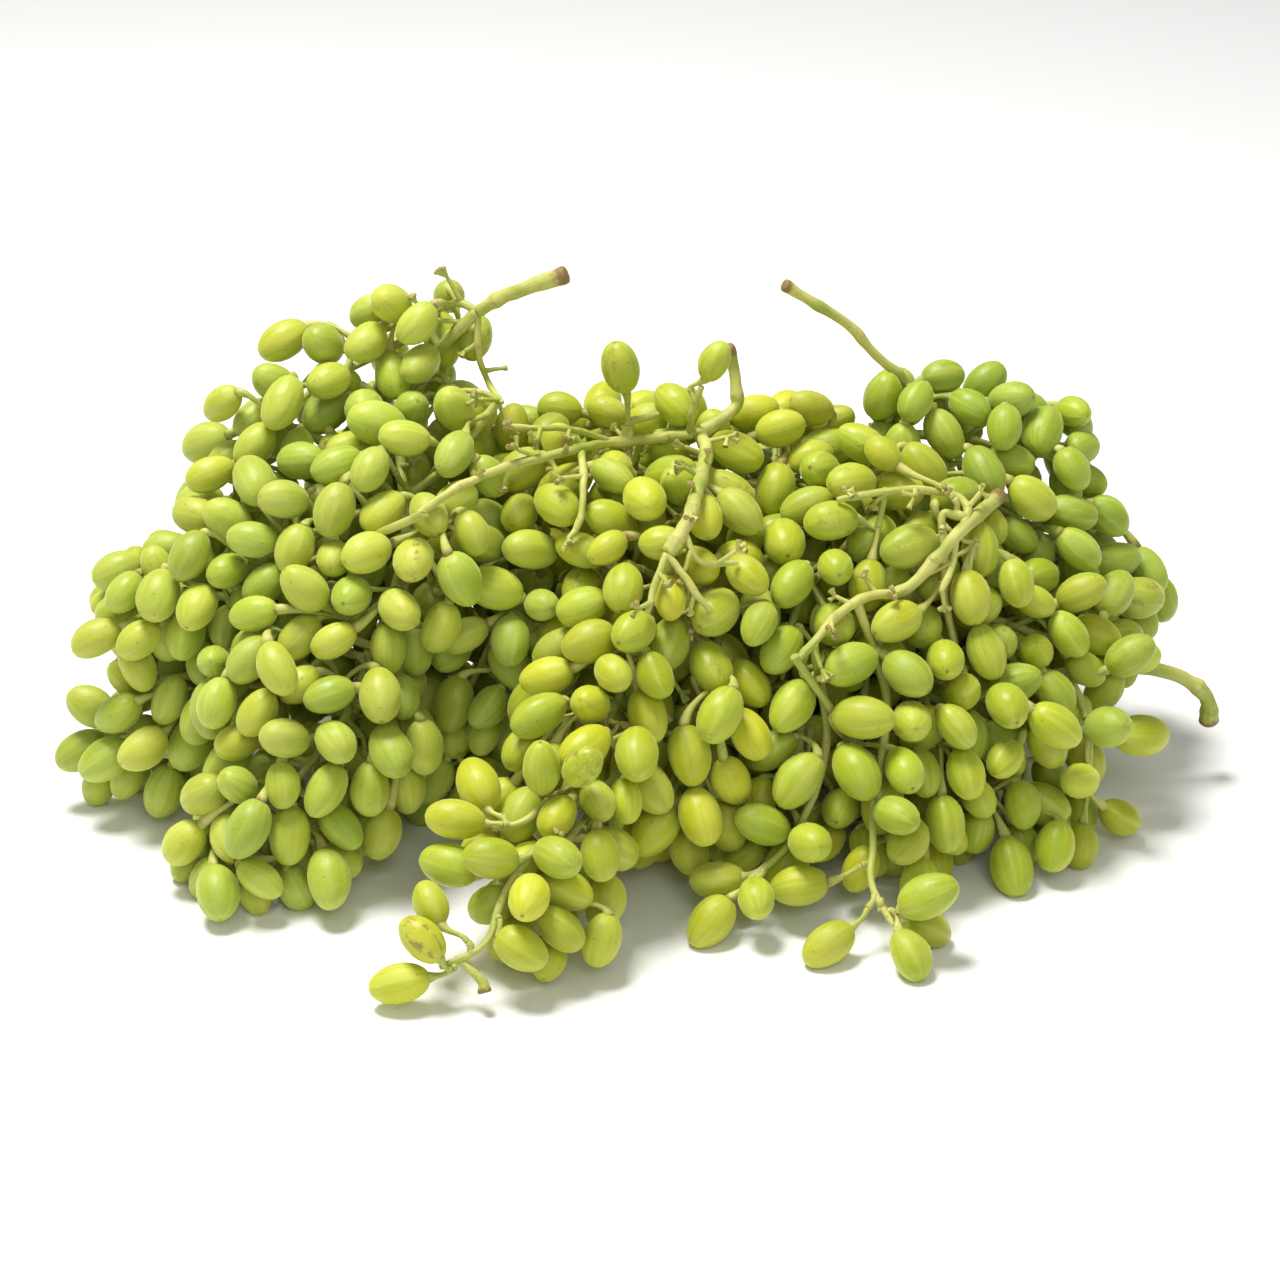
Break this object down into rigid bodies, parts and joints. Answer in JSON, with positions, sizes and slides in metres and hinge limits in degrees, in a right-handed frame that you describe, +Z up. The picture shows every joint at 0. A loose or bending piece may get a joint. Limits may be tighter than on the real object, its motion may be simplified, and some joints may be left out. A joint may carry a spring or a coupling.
{
  "type": "bunch of grapes",
  "caption": "Lying heap of small oval green grapes on their pale branching stems, with the cut stem ends standing out.",
  "frame": {"origin": "on the surface that the heap lies on, under the middle of its outline", "axes": "+X along the heap's length to the right, +Y to its back, +Z up"},
  "size_m": [0.3659, 0.225, 0.1711],
  "materials": {
    "berry_skin": "soft waxy grape skin, matte bloom with broad highlights",
    "green_stem": "fresh pale green stem, matte, browned at joints and cut ends"
  },
  "bodies": {
    "root": {"back_crest": "berry_skin", "back_rear": "berry_skin", "back_side": "berry_skin", "back_stem": "green_stem", "back_top": "berry_skin", "centre_drooping_spray": "berry_skin", "centre_front": "berry_skin", "centre_hanging_spray": "berry_skin", "centre_low": "berry_skin", "centre_low_spray": "berry_skin", "centre_middle": "berry_skin", "centre_side": "berry_skin", "centre_stem": "green_stem", "centre_upper": "berry_skin", "far_low": "berry_skin", "far_outer_spray": "berry_skin", "far_stem": "green_stem", "far_underside": "berry_skin", "far_upper": "berry_skin", "front_lower": "berry_skin", "front_side": "berry_skin", "front_side_spray": "berry_skin", "front_tip_spray": "berry_skin", "front_upper": "berry_skin", "left_crest": "berry_skin", "left_face": "berry_skin", "left_inner": "berry_skin", "left_lone_spray": "berry_skin", "left_low": "berry_skin", "left_shoulder_spray": "berry_skin", "left_stem": "green_stem", "left_top_shoulder": "berry_skin", "left_upper": "berry_skin", "left_upper_spray": "berry_skin", "left_wing": "berry_skin", "left_wing_spray": "berry_skin", "middle_rear": "berry_skin", "middle_stem": "green_stem", "middle_top": "berry_skin", "middle_top_left": "berry_skin", "middle_top_right": "berry_skin", "right_lone_spray": "berry_skin"}
  },
  "joints": []
}
